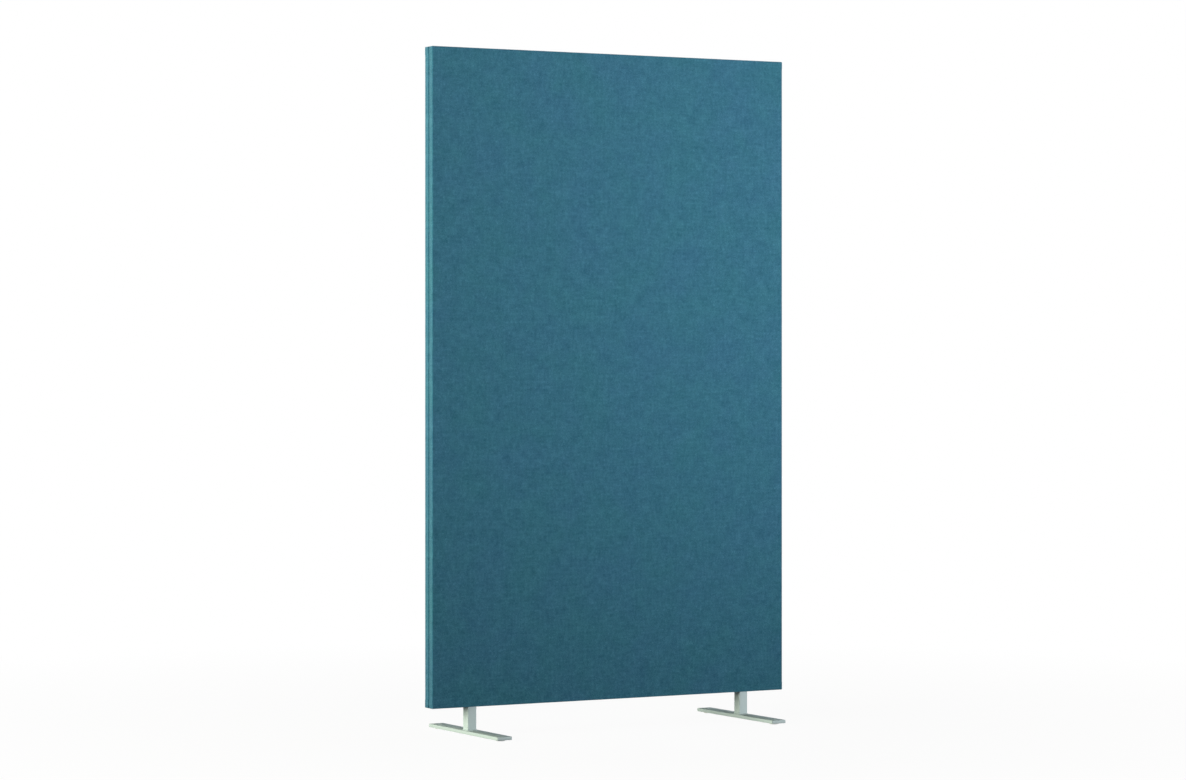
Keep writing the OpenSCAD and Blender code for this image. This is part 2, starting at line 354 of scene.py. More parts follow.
moulded = {
    "grainHeight": 0.00006,
    "rubber": {"tone": rgb(22, 42, 50), "shade": rgb(30, 52, 60), "grainScale": 1500.0, "rough": 0.6},
    "plastic": {"tone": rgb(226, 227, 222), "shade": rgb(212, 213, 206), "grainScale": 2400.0, "rough": 0.45},
}


def makeMouldedFinish(name, tone, shade, grainScale, rough):
    # moulded plastic or extruded rubber with a spark-eroded grain
    made = newFinish(name)
    place = ownPlace()
    grain = noiseOn(place, grainScale, 2.0, 0.6)
    dust = noiseOn(place, 60.0, 3.0, 0.6)
    colour = mixColour(fromRange(dust, 0.35, 0.75, 0, 1), tone, shade)
    roughness = fromRange(dust, 0.3, 0.7, rough - 0.06, rough + 0.08)
    return endFinish(made, {"Base Color": colour, "Roughness": roughness}, grain, moulded["grainHeight"], 0.7)


finish = {
    "cloth": makeClothFinish(),
    "coat": makeCoatFinish(),
    "steel": makeSteelFinish(),
    "uprightPine": makeWoodFinish("uprightPine", wood["pine"], "z"),
    "levelPine": makeWoodFinish("levelPine", wood["pine"], "x"),
    "beech": makeWoodFinish("beechDowel", wood["beech"], "x"),
    "ply": makePlyFinish(),
    "felt": makeFibreFinish("absorberFelt", **fibre["felt"]),
    "fleece": makeFibreFinish("wadding", **fibre["fleece"]),
    "rubber": makeMouldedFinish("splineRubber", **moulded["rubber"]),
    "plastic": makeMouldedFinish("glidePlastic", **moulded["plastic"]),
}
print("finishes made:", len(finish))


# Small tools for meshes

def newPiece(name, data, material=None):
    # the data is a mesh, or that of a lamp or a camera
    made = bpy.data.objects.new(name, data)
    bpy.context.scene.collection.objects.link(made)
    if material:
        data.materials.append(material)
    return made


def smoothed(piece, angle=35):
    for face in piece.data.polygons:
        face.use_smooth = True
    piece.data.set_sharp_from_angle(angle=math.radians(angle))
    return piece


def tidyMesh(mesh, near=1e-6):
    work = bmesh.new()
    work.from_mesh(mesh)
    bmesh.ops.remove_doubles(work, verts=work.verts, dist=near)
    bmesh.ops.dissolve_degenerate(work, edges=work.edges, dist=near)
    bmesh.ops.recalc_face_normals(work, faces=work.faces)
    work.to_mesh(mesh)
    work.free()


def ringPiece(name, rings, material=None, closed=False):
    # joins rings of as many points each into one skin, with its two ends capped or joined to each other
    size = len(rings[0])
    points = [p for ring in rings for p in ring]
    faces = []
    for k in range(len(rings) if closed else len(rings) - 1):
        a = k * size
        b = (k + 1) % len(rings) * size
        for i in range(size):
            j = (i + 1) % size
            faces.append((a + i, a + j, b + j, b + i))
    if not closed:
        faces.append(tuple(reversed(range(size))))
        faces.append(tuple(range(len(points) - size, len(points))))
    mesh = bpy.data.meshes.new(name)
    mesh.from_pydata(points, [], faces)
    tidyMesh(mesh)
    return smoothed(newPiece(name, mesh, material))


def turned(steps, centre=(0, 0), count=48):
    # a ring for each (radius, z); "hex" after them makes it a hexagon of that radius over its corners
    rings = []
    for radius, z, *shape in steps:
        ring = []
        for i in range(count):
            turn = 2 * math.pi * i / count
            out = radius
            if shape:
                out = radius * math.cos(math.pi / 6) / math.cos((turn % (math.pi / 3)) - math.pi / 6)
            ring.append((centre[0] + out * math.cos(turn), centre[1] + out * math.sin(turn), z))
        rings.append(ring)
    return rings


def roundedRing(width, depth, radius, z, centre=(0, 0), steps=6):
    ring = []
    for corner in range(4):
        sx = 1 if corner in (0, 3) else -1
        sy = 1 if corner < 2 else -1
        for step in range(steps + 1):
            turn = math.pi / 2 * (corner + step / steps)
            x = centre[0] + sx * (width / 2 - radius) + radius * math.cos(turn)
            y = centre[1] + sy * (depth / 2 - radius) + radius * math.sin(turn)
            ring.append((x, y, z))
    return ring


def settle(piece):
    # turns the piece's modifiers into plain mesh
    bpy.context.view_layer.update()
    plain = bpy.data.meshes.new_from_object(piece.evaluated_get(bpy.context.evaluated_depsgraph_get()))
    piece.modifiers.clear()
    piece.data = plain


def cutWith(piece, cutters):
    for cutter in cutters:
        made = piece.modifiers.new("cut", "BOOLEAN")
        made.operation = "DIFFERENCE"
        made.solver = "EXACT"
        made.object = cutter
    settle(piece)
    for cutter in cutters:
        bpy.data.objects.remove(cutter)
    return piece


def placed(piece, x, y, z, turn=None):
    # moves the mesh and leaves the object at the origin
    if turn:
        piece.data.transform(turn)
    piece.data.transform(Matrix.Translation((x, y, z)))
    return piece


def meshOf(name, work):
    mesh = bpy.data.meshes.new(name)
    work.to_mesh(mesh)
    work.free()
    return mesh


def joined(name, pieces):
    work = bmesh.new()
    for piece in pieces:
        work.from_mesh(piece.data)
    mesh = meshOf(name, work)
    material = pieces[0].data.materials[0]
    for piece in pieces:
        bpy.data.objects.remove(piece)
    return smoothed(newPiece(name, mesh, material))


def dress(material, *nodes):
    # gives solids that keep their own shape a finish
    for node in nodes:
        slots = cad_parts[node].data.materials
        slots.clear()
        slots.append(material)


# Small tools for Geometry Nodes

def newTree(name, sizes):
    tree = openTree(bpy.data.node_groups.new(name, "GeometryNodeTree"))
    tree.interface.new_socket("Geometry", in_out="INPUT", socket_type="NodeSocketGeometry")
    for label, kind in sizes.items():
        tree.interface.new_socket(label, in_out="INPUT", socket_type="NodeSocket" + kind)
    tree.interface.new_socket("Finish", in_out="INPUT", socket_type="NodeSocketMaterial")
    tree.interface.new_socket("Geometry", in_out="OUTPUT", socket_type="NodeSocketGeometry")
    return addNode("NodeGroupInput").outputs


def endTree(given, geometry):
    whole = outOf("GeometryNodeRealizeInstances", {"Geometry": geometry})
    dressed = outOf("GeometryNodeSetMaterial", {"Geometry": whole, "Material": given["Finish"]})
    addNode("NodeGroupOutput", {"Geometry": dressed})
    return bench["tree"]


def grow(name, tree, material, sizes, points=((0, 0, 0),), edges=()):
    # runs a tree on a base of points and edges, and returns the result as a plain piece
    mesh = bpy.data.meshes.new(name)
    mesh.from_pydata(points, edges, [])
    made = newPiece(name, mesh)
    modifier = made.modifiers.new(tree.name, "NODES")
    modifier.node_group = tree
    values = {**sizes, "Finish": material}
    for item in tree.interface.items_tree:
        if item.in_out == "INPUT" and item.name in values:
            modifier[item.identifier] = values[item.name]
    settle(made)
    return smoothed(made)


def addRod(given, vertices, rows):
    sizes = {"Vertices": vertices, "Side Segments": rows, "Radius": given["Radius"], "Depth": given["Length"]}
    return outOf("GeometryNodeMeshCylinder", sizes)


def rodPlace():
    # where a point of a rod lies, and its share of a turn round Z
    axes = axesOf(outOf("GeometryNodeInputPosition"))
    return axes, calc("DIVIDE", calc("ARCTAN2", axes["Y"], axes["X"]), 2 * math.pi)


def pressIn(given, rod, axes, depth):
    # moves the points of a rod towards its axis
    share = calc("DIVIDE", calc("MULTIPLY", depth, -1.0), given["Radius"])
    fromAxis = outOf("ShaderNodeCombineXYZ", {"X": axes["X"], "Y": axes["Y"]})
    inward = outOf("ShaderNodeVectorMath", {"Vector": fromAxis, "Scale": share}, operation="SCALE")
    return outOf("GeometryNodeSetPosition", {"Geometry": rod, "Offset": inward})


def onPoints(points, item, more=None):
    inputs = {"Points": points, "Instance": item, **(more or {})}
    return outOf("GeometryNodeInstanceOnPoints", inputs)


def makeThreadTree():
    # a rod from z = 0 upward whose side is pressed into a screw thread, with a chamfer at both ends
    sizes = {"Radius": "Float", "Length": "Float", "Pitch": "Float", "Depth": "Float", "Rows": "Int"}
    given = newTree("screwThread", sizes)
    lift = outOf("ShaderNodeCombineXYZ", {"Z": calc("MULTIPLY", given["Length"], 0.5)})
    raising = {"Geometry": addRod(given, 32, given["Rows"]), "Translation": lift}
    rod = outOf("GeometryNodeTransform", raising)
    axes, turn = rodPlace()
    phase = calc("SUBTRACT", calc("DIVIDE", axes["Z"], given["Pitch"]), turn)
    wave = calc("MULTIPLY", calc("PINGPONG", phase, 0.5), 2.0)
    groove = fromRange(wave, 0.12, 0.8, 0, 1)      # flat crests and roots
    toEnd = calc("MINIMUM", axes["Z"], calc("SUBTRACT", given["Length"], axes["Z"]))
    chamfer = fromRange(toEnd, 0, given["Depth"], 1, 0)
    depth = calc("MULTIPLY", calc("MAXIMUM", groove, chamfer), given["Depth"])
    return endTree(given, pressIn(given, rod, axes, depth))


def makeDowelTree():
    # a fluted, chamfered dowel on each point, lying along X
    sizes = ("Radius", "Length", "Flutes", "Flute Depth", "Chamfer")
    given = newTree("flutedDowels", dict.fromkeys(sizes, "Float"))
    axes, turn = rodPlace()
    half = calc("MULTIPLY", given["Length"], 0.5)
    toEnd = calc("SUBTRACT", half, calc("ABSOLUTE", axes["Z"]))
    chamfer = fromRange(toEnd, 0, given["Chamfer"], given["Chamfer"], 0)
    wave = calc("PINGPONG", calc("MULTIPLY", turn, given["Flutes"]), 0.5)
    flute = calc("MULTIPLY", calc("MULTIPLY", wave, 2.0), given["Flute Depth"])
    depth = calc("MAXIMUM", chamfer, flute)
    fluted = pressIn(given, addRod(given, 64, 12), axes, depth)
    dowel = outOf("GeometryNodeTransform", {"Geometry": fluted, "Rotation": (0, math.pi / 2, 0)})
    return endTree(given, onPoints(given["Geometry"], dowel))


def makeStripTree():
    # a strip with rounded edges pressed along a path that lies in the XZ plane
    given = newTree("pressedStrip", {"Width": "Float", "Depth": "Float", "Rounding": "Float"})
    path = outOf("GeometryNodeMeshToCurve", {"Mesh": given["Geometry"]})
    level = outOf("GeometryNodeSetCurveNormal", {"Curve": path, "Normal": (0, 1, 0)}, mode="FREE")
    section = {"Width": given["Width"], "Height": given["Depth"]}
    box = outOf("GeometryNodeCurvePrimitiveQuadrilateral", section)
    corners = {"Curve": box, "Count": 3, "Radius": given["Rounding"]}
    profile = outOf("GeometryNodeFilletCurve", corners, mode="POLY")
    swept = {"Curve": level, "Profile Curve": profile, "Fill Caps": True}
    return endTree(given, outOf("GeometryNodeCurveToMesh", swept))


def makeWeldTree():
    # a weld bead on a closed path: a round core with a ripple at every step
    given = newTree("weldBead", {"Radius": "Float", "Step": "Float"})
    path = outOf("GeometryNodeMeshToCurve", {"Mesh": given["Geometry"]})
    steps = outOf("GeometryNodeResampleCurve", {"Curve": path, "Length": given["Step"]}, mode="LENGTH")
    slim = {"Resolution": 12, "Radius": calc("MULTIPLY", given["Radius"], 0.86)}
    core = outOf("GeometryNodeCurvePrimitiveCircle", slim)
    bead = outOf("GeometryNodeCurveToMesh", {"Curve": steps, "Profile Curve": core})
    ball = outOf("GeometryNodeMeshUVSphere", {"Segments": 14, "Rings": 8, "Radius": given["Radius"]})
    along = {"Vector": outOf("GeometryNodeInputTangent")}
    aimed = outOf("FunctionNodeAlignRotationToVector", along, axis="X")
    ripples = onPoints(steps, ball, {"Rotation": aimed, "Scale": (0.62, 1, 1)})
    both = addNode("GeometryNodeJoinGeometry")
    for part in (bead, ripples):
        feed(both, {"Geometry": part})
    return endTree(given, both.outputs["Geometry"])


def makeRibTree():
    # grip ribs round a moulded pad
    sizes = {"Count": "Int", "Ring Radius": "Float", "Rib Radius": "Float", "Height": "Float"}
    given = newTree("gripRibs", sizes)
    ring = {"Vertices": given["Count"], "Radius": given["Ring Radius"]}
    points = outOf("GeometryNodeMeshCircle", ring)
    barrel = {"Vertices": 10, "Side Segments": 1, "Radius": given["Rib Radius"], "Depth": given["Height"]}
    rib = outOf("GeometryNodeMeshCylinder", barrel)
    return endTree(given, onPoints(points, rib))


threadTree = makeThreadTree()
dowelTree = makeDowelTree()
stripTree = makeStripTree()
weldTree = makeWeldTree()
ribTree = makeRibTree()
print("trees made:", len(bpy.data.node_groups))


# The two skins: each runs over its face, round the edges, and is rolled into the slot

skin = {
    "thickness": 0.001,
    "arris": 0.002,           # rounding of the cloth over the wadding's edge
    "roll": 0.0018,           # rounding where it turns into the slot
    "rollDepth": 0.006,       # nearer the panel's middle than this, it runs into the slot
    "tucked": (0.003, 0.005, 0.007),    # how deep it goes in from the face of the edge, step by step
    "cell": 0.0125,
    "leastCell": 0.003,
    "borderCell": 0.0015,
    "tabHeight": 0.019,       # the square tab folded over each corner of the upright edges
    "tabRise": 0.0005,
    "tabStep": 0.0003,        # half the width of the step at the tab's end
    "pull": 0.0003,           # unevenness where the cloth is pulled into the slot
    "pullScale": 22.0,
    "swell": 0.00025,         # soft unevenness of the faces over the wadding
    "swellScale": (5.0, 16.0),
    "swellFade": 0.04,
    "spare": 0.001,           # how far the edge's unevenness may take it out
    "boltHole": 0.0042,
    "pinHole": 0.0016,
    "pinOffset": 0.007,
    "holeFrom": 0.003,        # the holes' cutters, below and above the panel's underside
    "holeTo": 0.02,
}


def gridLines(low, high, extra=()):
    # evenly spaced lines that keep clear of those at the borders and at the tabs
    count = round((high - low) / skin["cell"])
    fixed = [low, high, low + skin["borderCell"], high - skin["borderCell"], *extra]
    even = [low + (high - low) * i / count for i in range(1, count)]
    return sorted(fixed + [v for v in even if min(abs(v - f) for f in fixed) > skin["leastCell"]])


def skinProfile(offset):
    # from the face round the edge and into the slot, for one side of the cloth: inset from the
    # panel's outline, depth from its middle, and shares of the edge's and the slot's unevenness
    deep, arris, roll = panel["halfDepth"], skin["arris"], skin["roll"]
    lipAt = panel["slotHalfWidth"]
    rollAt = lipAt + roll
    points = []
    for k in range(1, 6):
        turn = math.pi / 2 * k / 5
        reach, out = arris - offset, math.sin(turn)
        points.append((arris - reach * out, deep - arris + reach * math.cos(turn), out, 0))
    for k in range(1, 7):
        share = k / 6
        points.append((offset, deep - arris + (rollAt - deep + arris) * share, 1, share ** 3))
    for k in range(1, 5):
        turn = math.pi / 2 * k / 4
        reach, out = roll - offset, math.cos(turn)
        points.append((roll - reach * out, rollAt - reach * math.sin(turn), out, out + 0.2))
    return points + [(inset, lipAt + offset, 0, 0) for inset in skin["tucked"]]


def held(value, low, high):
    return min(max(value, low), high)


def makeSkin(name, way, seed):
    half, deep = panel["halfWidth"], panel["halfDepth"]
    low, high = panel["bottom"], panel["top"]
    arris, tab = skin["arris"], skin["tabHeight"]
    folds = [v + d for v in (low + tab, high - tab) for d in (-skin["tabStep"], skin["tabStep"])]
    xs = gridLines(-half + arris, half - arris)
    zs = gridLines(low + arris, high - arris, folds)
    points, flat, faces = [], [], []

    def add(x, y, z, u, v):
        points.append((x, y, z))
        flat.append((u, v))
        return len(points) - 1

    def swell(x, z):
        fade = min(1, min(half - abs(x), z - low, high - z) / skin["swellFade"])
        wide, fine = skin["swellScale"]
        slow = noise.noise(Vector((x * wide, z * wide, seed)))
        quick = noise.noise(Vector((x * fine, z * fine, seed + 5)))
        return skin["swell"] * fade * (slow + 0.4 * quick)

    # the outer and the inner face
    grids = []
    for offset in (0, skin["thickness"]):
        grid = [[add(x, way * (deep - offset + swell(x, z)), z, x, z) for z in zs] for x in xs]
        grids.append(grid)
    for grid in grids:
        for i in range(len(xs) - 1):
            for j in range(len(zs) - 1):
                faces.append((grid[i][j], grid[i + 1][j], grid[i + 1][j + 1], grid[i][j + 1]))

    # columns that go out from the face's border, with a fan of them at each corner
    lastX, lastZ = len(xs) - 1, len(zs) - 1
    runs = [
        ([(i, 0) for i in range(lastX + 1)], (0, -1)),
        ([(lastX, j) for j in range(lastZ + 1)], (1, 0)),
        ([(i, lastZ) for i in range(lastX, -1, -1)], (0, 1)),
        ([(0, j) for j in range(lastZ, -1, -1)], (-1, 0)),
    ]
    columns = []
    for cells, (outX, outZ) in runs:
        columns += [(cell, outX, outZ) for cell in cells]
        for k in range(1, 4):
            c, s = math.cos(math.pi / 2 * k / 4), math.sin(math.pi / 2 * k / 4)
            columns.append((cells[-1], outX * c - outZ * s, outZ * c + outX * s))

    profile = skinProfile(0) + skinProfile(skin["thickness"])[::-1]
    rings = []
    for (i, j), outX, outZ in columns:
        baseX, baseZ = xs[i], zs[j]
        inTab = min(baseZ - low, high - baseZ) < tab
        rise = skin["tabRise"] * outX ** 2 if inTab else 0
        alongEdge = baseX * abs(outZ) + baseZ * abs(outX)
        where = Vector((alongEdge * skin["pullScale"], outX * 3, outZ * 3 + seed))
        edge = skin["pull"] * 0.4 * noise.noise(where)
        slot = max(0, skin["pull"] * (0.5 + noise.noise(where * 2.3)))
        column = [grids[0][i][j]]
        for inset, depth, edgeShare, slotShare in profile:
            grown = arris - inset + edgeShare * (rise + edge)
            spare = 0 if inset > arris else skin["spare"]
            x = held(baseX + outX * grown, -half + inset - spare, half - inset + spare)
            z = held(baseZ + outZ * grown, low + inset - spare, high - inset + spare)
            y = way * (depth + slotShare * slot)
            reach = arris + (deep - depth) + (inset if depth < skin["rollDepth"] else 0)
            column.append(add(x, y, z, baseX + outX * reach, baseZ + outZ * reach))
        column.append(grids[1][i][j])
        rings.append(column)
    for k, column in enumerate(rings):
        following = rings[(k + 1) % len(rings)]
        for step in range(len(column) - 1):
            corners = [column[step], following[step], following[step + 1], column[step + 1]]
            corners = list(dict.fromkeys(corners))      # one of the four may stand there twice
            if len(corners) > 2:
                faces.append(tuple(corners))

    mesh = bpy.data.meshes.new(name)
    mesh.from_pydata(points, [], faces)
    uvs = mesh.uv_layers.new(name="flat")
    for loop in mesh.loops:
        uvs.data[loop.index].uv = flat[loop.vertex_index]
    tidyMesh(mesh, 2e-6)
    piece = smoothed(newPiece(name, mesh, finish["cloth"]), 60)

    # holes for the foot bolts and their pins
    pin, off = skin["pinHole"], skin["pinOffset"]
    cutters = []
    for x in sides.values():
        for shift, radius in ((0, skin["boltHole"]), (-off, pin), (off, pin)):
            steps = [(radius, low - skin["holeFrom"]), (radius, low + skin["holeTo"])]
            cutters.append(ringPiece("cutter", turned(steps, (x + shift, shift), 24)))
    return cutWith(piece, cutters)


frontCover = makeSkin("frontCover", -1, 0.0)
backCover = makeSkin("backCover", 1, 40.0)
print("skins made:", len(frontCover.data.polygons), "faces each")


# Wadding and absorber slabs

board = {
    "cell": 0.025,
    "slabEdge": 0.0015,
    "waddingEdge": 0.0018,
    "waddingFit": 0.0001,      # how far the wadding stays clear of the cloth and the timber
    "cornerCut": 0.0903,       # leg of the corner that a slab leaves to a corner block
    "lump": 0.0001,
}


def softBoard(name, outline, yFrom, yTo, edge, material, roundBack=True):
    # a board of felt or fleece with rounded edges and a slightly uneven face
    work = bmesh.new()
    face = work.faces.new([work.verts.new((x, yFrom, z)) for x, z in outline])
    grown = bmesh.ops.extrude_face_region(work, geom=[face])["geom"]
    moved = [g for g in grown if isinstance(g, bmesh.types.BMVert)]
    bmesh.ops.translate(work, verts=moved, vec=(0, yTo - yFrom, 0))
    bmesh.ops.recalc_face_normals(work, faces=work.faces)
    sharp = [e for e in work.edges if roundBack or any(abs(v.co.y - yFrom) < 1e-6 for v in e.verts)]
    rounding = {"offset": edge, "segments": 3, "profile": 0.5, "affect": "EDGES", "clamp_overlap": True}
    bmesh.ops.bevel(work, geom=sharp, **rounding)
    for axis in (0, 2):
        spots = [p[axis // 2] for p in outline]
        first, span = min(spots), max(spots) - min(spots)
        count = round(span / board["cell"])
        normal = (1, 0, 0) if axis == 0 else (0, 0, 1)
        for k in range(1, count):
            point = [n * (first + span * k / count) for n in normal]
            everything = list(work.verts) + list(work.edges) + list(work.faces)
            bmesh.ops.bisect_plane(work, geom=everything, plane_co=point, plane_no=normal, dist=1e-6)
    for vert in work.verts:
        lump = board["lump"] * (0.5 + 0.5 * noise.noise(vert.co * 40))
        if abs(vert.co.y - min(yFrom, yTo)) < 1e-5:
            vert.co.y += lump
        elif abs(vert.co.y - max(yFrom, yTo)) < 1e-5:
            vert.co.y -= lump
    mesh = meshOf(name, work)
    tidyMesh(mesh)
    return smoothed(newPiece(name, mesh, material), 40)


def makeSlab(node, cutLow, cutHigh):
    low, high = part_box(node)
    left, right, bottom, top = low.x, high.x, low.z, high.z
    cut = board["cornerCut"]
    if cutLow:
        outline = [(left + cut, bottom), (right - cut, bottom), (right, bottom + cut)]
    else:
        outline = [(left, bottom), (right, bottom)]
    if cutHigh:
        outline += [(right, top - cut), (right - cut, top), (left + cut, top), (left, top - cut)]
    else:
        outline += [(right, top), (left, top)]
    if cutLow:
        outline.append((left, bottom + cut))
    deep = panel["frameHalfDepth"]
    return softBoard(node + "_felt", outline, -deep, deep, board["slabEdge"], finish["felt"])


slabs = {
    "top_absorber": makeSlab("top_absorber", cutLow=False, cutHigh=True),
    "middle_absorber": makeSlab("middle_absorber", cutLow=False, cutHigh=False),
    "bottom_absorber": makeSlab("bottom_absorber", cutLow=True, cutHigh=False),
}


def makeWadding(name, node, way):
    low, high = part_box(node)
    fit = board["waddingFit"]
    left, right, bottom, top = low.x + fit, high.x - fit, low.z + fit, high.z - fit
    outline = [(left, bottom), (right, bottom), (right, top), (left, top)]
    outer = way * (panel["halfDepth"] - skin["thickness"] - fit)
    inner = way * (panel["frameHalfDepth"] + fit)
    edge = board["waddingEdge"]
    return softBoard(name, outline, outer, inner, edge, finish["fleece"], roundBack=False)


frontWadding = makeWadding("frontWadding", "front_wadding", -1)
backWadding = makeWadding("backWadding", "back_wadding", 1)
print("wadding and slabs made")


# Spline round the slot, left out over the posts

spline = {
    "width": 0.0028,
    "depth": 0.0049,
    "rounding": 0.0011,
    "inset": 0.004,            # its middle, from the face of the edge
    "corner": 0.004,
    "postHalfWidth": 0.0126,
}


def splinePath():
    # two open runs: the short one between the posts, and the long one round the rest
    half = panel["halfWidth"] - spline["inset"]
    low, high = panel["bottom"] + spline["inset"], panel["top"] - spline["inset"]
    inner, outer = sides["right"] - spline["postHalfWidth"], sides["right"] + spline["postHalfWidth"]
    r = spline["corner"]
    middles = [(half - r, low + r), (half - r, high - r), (r - half, high - r), (r - half, low + r)]
    longRun = [(outer, low)]
    for corner, (x, z) in enumerate(middles):
        for k in range(6):
            turn = math.radians(90 * (corner - 1) + 18 * k)
            longRun.append((x + r * math.cos(turn), z + r * math.sin(turn)))
    longRun.append((-outer, low))
    points, edges = [], []
    for run in ([(-inner, low), (inner, low)], longRun):
        first = len(points)
        points += [(x, 0, z) for x, z in run]
        edges += [(k, k + 1) for k in range(first, len(points) - 1)]
    return points, edges


# the strip stands on edge in the slot, so its section's width is the spline's depth
sizes = {"Width": spline["depth"], "Depth": spline["width"], "Rounding": spline["rounding"]}
edgeSpline = grow("edgeSpline", stripTree, finish["rubber"], sizes, *splinePath())
tidyMesh(edgeSpline.data)
print("spline made")


# Timber frame: the solids' own shape, with grain laid along each length

dowel = {
    "radius": 0.004,
    "length": 0.06,
    "flutes": 16.0,
    "fluteDepth": 0.0003,
    "chamfer": 0.001,
    "pitch": 0.018,            # between the two dowels of a joint
    "joints": (0.0965, 0.610167, 1.127833, 1.6415),
    "reach": 0.454,
}

dress(finish["uprightPine"], "left_stile", "right_stile")
dress(finish["levelPine"], "top_rail", "bottom_rail", "upper_cross_rail", "lower_cross_rail")
dress(finish["ply"], "corner_blocks")
spots = []
for x in (-dowel["reach"], dowel["reach"]):
    for z in dowel["joints"]:
        spots += [(x, 0, z - dowel["pitch"] / 2), (x, 0, z + dowel["pitch"] / 2)]
sizes = {
    "Radius": dowel["radius"],
    "Length": dowel["length"],
    "Flutes": dowel["flutes"],
    "Flute Depth": dowel["fluteDepth"],
    "Chamfer": dowel["chamfer"],
}
frameDowels = grow("frameDowels", dowelTree, finish["beech"], sizes, spots)
print("frame dressed, dowels made:", len(spots))


# Feet: a flat bar and a square post, welded together and powder-coated

foot = {
    "barWidth": 0.04,
    "barLength": 0.36,
    "barBottom": 0.003,
    "barTop": 0.011,
    "barCorner": 0.0015,
    "barEase": 0.0005,         # broken edge of the bar
    "sinkRadius": 0.0077,      # countersink for the foot bolt
    "sinkDepth": 0.0035,
    "boltHole": 0.0042,
    "glideHole": 0.00405,
    "holeEase": 0.0004,
    "postSide": 0.025,
    "postWall": 0.002,
    "postCorner": 0.0028,
    "postTop": 0.069,
    "postEase": 0.0004,        # at the tube's top, and half of that on its inside
    "postFoot": 0.004,         # a ring this far above the bar
    "weld": 0.0019,
    "weldStep": 0.0021,
    "weldOut": 0.0006,         # how much wider than the post its path is
}


def makeDrill(x, y, radius, low, high, ease):
    # a cutter for a plain hole with both its edges broken
    wide = radius + ease
    steps = [(wide + overrun, low - overrun), (wide, low), (radius, low + ease)]
    steps += [(radius, high - ease), (wide, high), (wide + overrun, high + overrun)]
    return ringPiece("cutter", turned(steps, (x, y), 32))


def makeFoot(side):
    x = sides[side]
    low, high, ease = foot["barBottom"], foot["barTop"], foot["barEase"]
    width, length, corner = foot["barWidth"], foot["barLength"], foot["barCorner"]
    layers = [(2 * ease, low), (ease * 0.6, low + ease * 0.4), (0, low + ease)]
    layers += [(0, high - ease), (ease * 0.6, high - ease * 0.4), (2 * ease, high)]
    rings = [roundedRing(width - cut, length - cut, corner - cut / 2, z, (x, 0)) for cut, z in layers]
    bar = ringPiece(side + "FootBar", rings, finish["coat"])
    sink, drill = foot["sinkRadius"], foot["boltHole"]
    steps = [(sink + overrun, low - overrun), (sink, low)]
    steps += [(drill, low + foot["sinkDepth"]), (drill, high + overrun)]
    cutters = [ringPiece("cutter", turned(steps, (x, 0)))]
    cutters += [makeDrill(x, y, foot["glideHole"], low, high, foot["holeEase"]) for y in ends.values()]
    smoothed(cutWith(bar, cutters), 30)

    # the post's wall: up the outside, over its top and down the inside
    wide, corner, top, ease = foot["postSide"], foot["postCorner"], foot["postTop"], foot["postEase"]
    bore, inCorner = wide - 2 * foot["postWall"], corner - foot["postWall"]
    layers = [
        (wide, corner, high),
        (wide, corner, high + foot["postFoot"]),
        (wide, corner, top - ease),
        (wide - 2 * ease, corner - ease, top),
        (bore + ease, inCorner + ease / 2, top),
        (bore, inCorner, top - ease),
        (bore, inCorner, high),
    ]
    rings = [roundedRing(size, size, radius, z, (x, 0)) for size, radius, z in layers]
    post = ringPiece(side + "Post", rings, finish["coat"], closed=True)

    size = wide + foot["weldOut"]
    path = roundedRing(size, size, corner, high, (x, 0), 4)
    edges = [(k, (k + 1) % len(path)) for k in range(len(path))]
    bead = {"Radius": foot["weld"], "Step": foot["weldStep"]}
    weld = grow(side + "Weld", weldTree, finish["coat"], bead, path, edges)
    return bar, post, weld


feet = {side: makeFoot(side) for side in sides}
print("feet made")


# Fixings

bolt = {
    "radius": 0.004,
    "bottom": 0.003,
    "length": 0.1,
    "headRadius": 0.0075,
    "ease": 0.0004,
    "socket": 0.003,           # over the corners
    "socketDepth": 0.003,
    "socketEase": 0.0003,
    "socketTaper": 0.97,
    "drillTip": (0.0003, 0.0006),      # the drill's point past the socket's floor: radius and depth
    "neckStep": 0.0002,
    "threadStart": (0.0005, 0.0015),   # the shank narrows to the thread's core from one to the other
    "threadLength": 0.03,
    "pitch": 0.00125,
    "threadDepth": 0.00065,
    "threadRows": 240,
}


def makeThread(name, radius, length, rows, x, y, low):
    sizes = {"Radius": radius, "Length": length, "Rows": rows}
    sizes.update({"Pitch": bolt["pitch"], "Depth": bolt["threadDepth"]})
    return placed(grow(name + "Thread", threadTree, finish["steel"], sizes), x, y, low)


def chamfered(radius, low, high, ease):
    return [(radius - ease, low), (radius, low + ease), (radius, high - ease), (radius - ease, high)]


def makeBolt(name, x):
    # hexagon socket, countersunk head and shank in one skin, and the thread set on its end
    low, r, head, ease = bolt["bottom"], bolt["radius"], bolt["headRadius"], bolt["ease"]
    socket, floor = bolt["socket"], low + bolt["socketDepth"]
    tip, deeper = bolt["drillTip"]
    neck = low + head - r
    threadAt = low + bolt["length"] - bolt["threadLength"]
    narrowFrom, narrowTo = bolt["threadStart"]
    steps = [
        (tip, floor + deeper),
        (socket * bolt["socketTaper"], floor, "hex"),
        (socket, low + bolt["socketEase"], "hex"),
        (socket + ease, low, "hex"),
        (head - ease, low),
        (head, low + ease),
        (r + bolt["neckStep"], neck),
        (r, neck + ease),
        (r, threadAt + narrowFrom),
        (r - bolt["threadDepth"], threadAt + narrowTo),
    ]
    shank = ringPiece(name + "Shank", turned(steps, (x, 0)), finish["steel"])
    thread = makeThread(name, r, bolt["threadLength"], bolt["threadRows"], x, 0, threadAt)
    return joined(name, [shank, thread])


